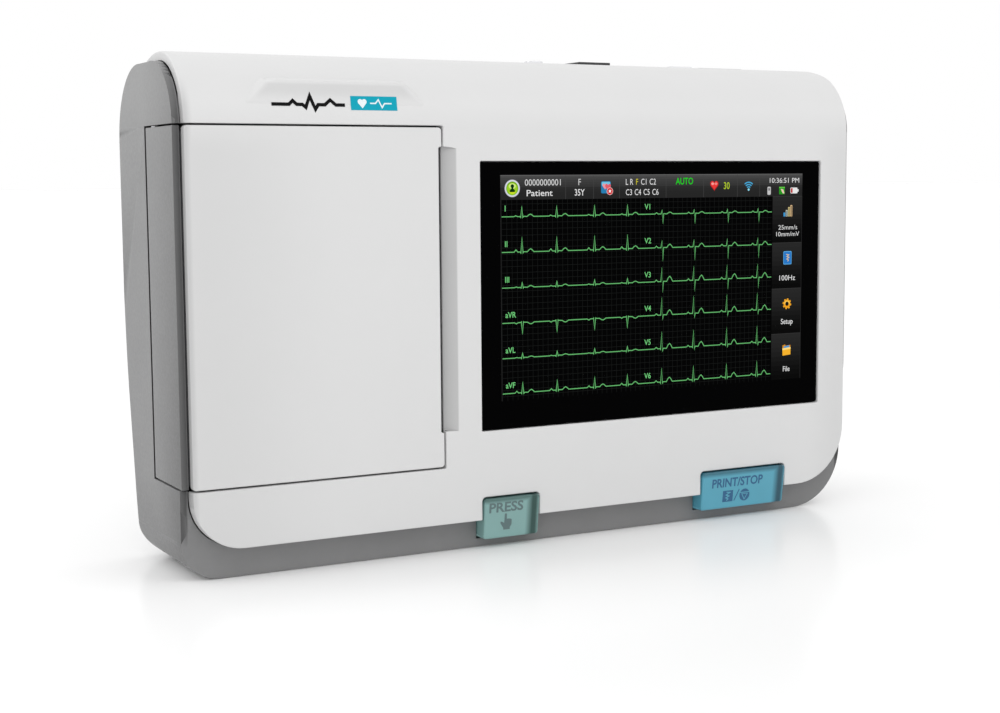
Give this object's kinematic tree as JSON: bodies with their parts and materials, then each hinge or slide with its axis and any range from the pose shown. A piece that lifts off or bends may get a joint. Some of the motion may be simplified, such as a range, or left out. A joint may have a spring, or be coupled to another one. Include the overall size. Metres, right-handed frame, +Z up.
{
  "type": "ecg machine",
  "caption": "Portable ECG machine with a touch screen, hinged paper door over a built-in thermal printer, and two translucent buttons.",
  "frame": {"origin": "middle of the footprint on the surface the machine stands on", "axes": "+X to the right along the screen's width, +Y from the screen to the back, +Z up the screen"},
  "size_m": [0.222, 0.0538, 0.1422],
  "materials": {
    "white_shell": "fine satin texture",
    "grey_shell": "fine spark texture",
    "inner_plastic": "moulded",
    "glass_black": "gloss",
    "gasket": "foam",
    "teal_button": "translucent satin",
    "blue_button": "translucent satin",
    "steel": "bright",
    "sheet_steel": "zinc plated",
    "rubber_black": "matt",
    "natural_acetal": "moulded",
    "brass": "turned",
    "aluminium": "extruded",
    "ceramic": "glazed",
    "polyimide": "flexible",
    "paper": "thermal coated",
    "board_green": "solder mask",
    "component_black": "moulded",
    "cell_blue": "shrink sleeve",
    "chrome": "plated"
  },
  "bodies": {
    "housing": {"front_cover": "white_shell", "rear_casing": "grey_shell", "touch_glass": "glass_black", "glass_gasket": "gasket", "lcd_module": "inner_plastic", "lcd_holder": "inner_plastic", "hinge_pins": "steel", "idler_pin": "steel", "stepper_motor": "sheet_steel", "printer_chassis": "sheet_steel", "print_head": "ceramic", "head_heatsink": "aluminium", "head_springs": "steel", "head_cable": "polyimide", "tear_bar": "steel", "paper_tray": "inner_plastic", "paper_sensor": "component_black", "press_spring": "steel", "button_dome": "rubber_black", "key_board": "board_green", "mainboard": "board_green", "mainboard_chips": "component_black", "ecg_board": "board_green", "ecg_shield_can": "sheet_steel", "power_board": "board_green", "power_parts": "component_black", "battery_pack": "cell_blue", "battery_contacts": "brass", "battery_cover": "grey_shell", "speaker": "component_black", "ecg_connector": "component_black", "connector_jackscrews": "steel", "usb_port": "sheet_steel", "usb_device_port": "sheet_steel", "lan_port": "sheet_steel", "dc_inlet": "component_black", "earth_stud": "chrome", "sync_jack": "component_black", "rubber_feet": "rubber_black", "casing_screws": "steel", "battery_cover_screws": "steel", "board_screws": "steel"},
    "door": {"door_front_panel": "white_shell", "door_side_panel": "grey_shell", "door_frame": "inner_plastic", "platen_bushes": "natural_acetal"},
    "platen": {"platen_shaft": "steel", "platen_roller": "rubber_black", "platen_gear": "natural_acetal"},
    "idler": {"idler_gear": "natural_acetal"},
    "motor_rotor": {"motor_pinion": "brass", "motor_shaft": "steel"},
    "paper": {"paper_roll": "paper", "paper_core": "inner_plastic"},
    "release_button": {"press_button": "teal_button"},
    "latch": {"latch_slide": "inner_plastic"},
    "print_button": {"print_stop_button": "blue_button"}
  },
  "joints": [
    {"name": "paper_door", "type": "hinge", "parent": "housing", "child": "door", "pos_m": [-0.1098, -0.00115, 0.0726], "axis": [0, 0, -1], "range_deg": [0, 90]},
    {"name": "platen_spin", "type": "hinge", "parent": "door", "child": "platen", "pos_m": [-0.0442, -0.01525, 0.07], "axis": [0, 0, 1], "continuous": true},
    {"name": "idler_spin", "type": "hinge", "parent": "housing", "child": "idler", "pos_m": [-0.04147, -0.00234, 0.03], "axis": [0, 0, 1], "continuous": true},
    {"name": "motor_spin", "type": "hinge", "parent": "housing", "child": "motor_rotor", "pos_m": [-0.04471, 0.00796, 0.03], "axis": [0, 0, 1], "continuous": true},
    {"name": "paper_spin", "type": "hinge", "parent": "housing", "child": "paper", "pos_m": [-0.08, -0.0009, 0.0746], "axis": [0, 0, 1], "continuous": true},
    {"name": "release_press", "type": "slide", "parent": "housing", "child": "release_button", "axis": [0, 1, 0], "range_m": [0, 0.0025], "stiffness_N_per_m": 300, "springref_m": -0.003, "deforming": ["press_spring"]},
    {"name": "latch_lift", "type": "slide", "parent": "housing", "child": "latch", "axis": [0, 0, 1], "range_m": [0, 0.0025]},
    {"name": "print_press", "type": "slide", "parent": "housing", "child": "print_button", "axis": [0, 1, 0], "range_m": [0, 0.001], "stiffness_N_per_m": 800, "springref_m": -0.001}
  ],
  "couplings": [
    {"joint": "idler_spin", "follows": "platen_spin", "ratio": -0.83333},
    {"joint": "motor_spin", "follows": "platen_spin", "ratio": 1.6667},
    {"joint": "latch_lift", "follows": "release_press", "ratio": 1}
  ]
}
